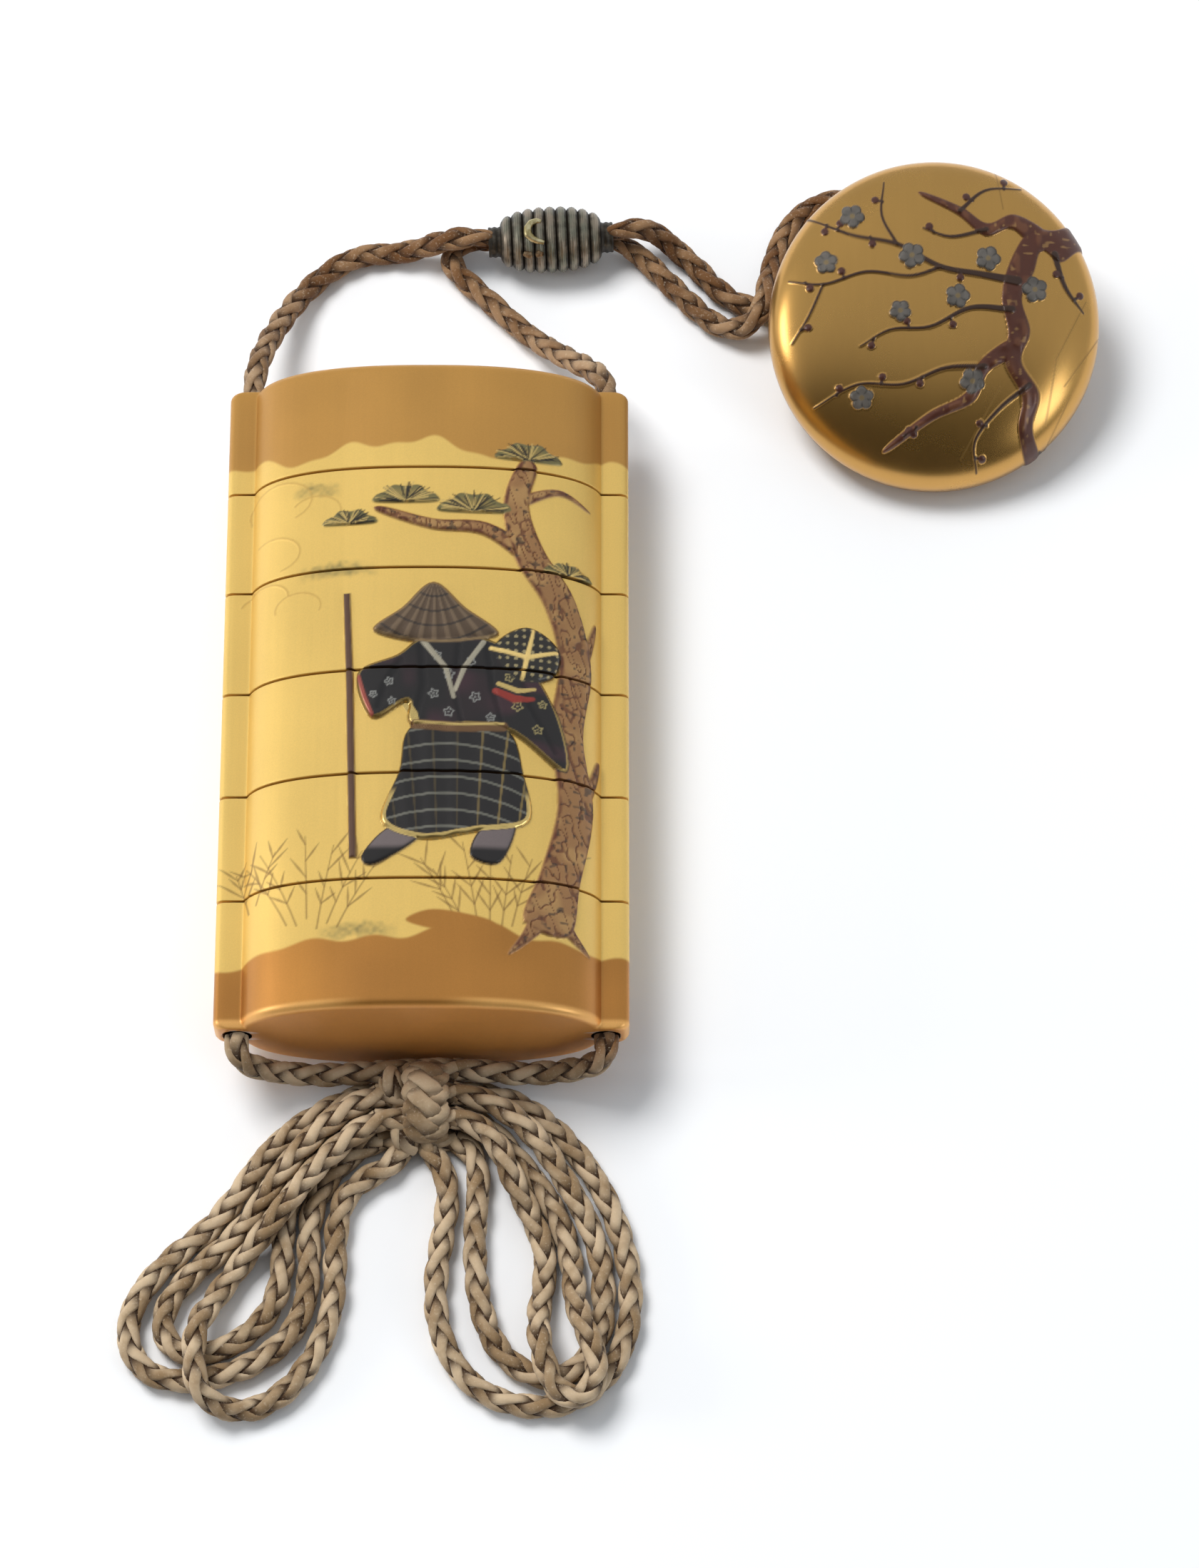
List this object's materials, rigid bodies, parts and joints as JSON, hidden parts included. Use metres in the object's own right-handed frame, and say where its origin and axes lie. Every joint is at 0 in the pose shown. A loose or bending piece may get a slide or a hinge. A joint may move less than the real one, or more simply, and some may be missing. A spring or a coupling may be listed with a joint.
{
  "type": "inro case",
  "caption": "Flat tiered lacquer case with a lift-off lid, corded through a barrel bead to a round two-part toggle, with a bow below.",
  "frame": {"origin": "under the middle of the inro, on the surface its back rests on", "axes": "+Y along the case towards its lid, +Z out of the decorated front, +X to the right of someone looking down on the front"},
  "size_m": [0.1288, 0.1777, 0.025],
  "materials": {
    "gold_lacquer": "gold lacquer, glossy",
    "netsuke_lacquer": "gold lacquer, satin",
    "dark_iron": "dark patinated ridges",
    "dark_silk": "braided silk, reddish brown",
    "tan_silk": "braided silk, faded tan"
  },
  "bodies": {
    "root": {"lid": "gold_lacquer", "case_1": "gold_lacquer", "case_2": "gold_lacquer", "case_3": "gold_lacquer", "case_4": "gold_lacquer", "case_5": "gold_lacquer", "ojime": "dark_iron", "netsuke_front": "netsuke_lacquer", "netsuke_back": "netsuke_lacquer", "cord_upper_left": "dark_silk", "cord_upper_right": "dark_silk", "cord_channel_left": "dark_silk", "cord_channel_right": "dark_silk", "cord_tie_left": "tan_silk", "cord_tie_right": "tan_silk", "cord_toggle_direct": "dark_silk", "cord_toggle_round": "dark_silk", "cord_loop_left_1": "tan_silk", "cord_loop_left_2": "tan_silk", "cord_loop_left_3": "tan_silk", "cord_loop_right_1": "tan_silk", "cord_loop_right_2": "tan_silk", "cord_loop_right_3": "tan_silk", "bow_knot": "tan_silk"}
  },
  "joints": []
}
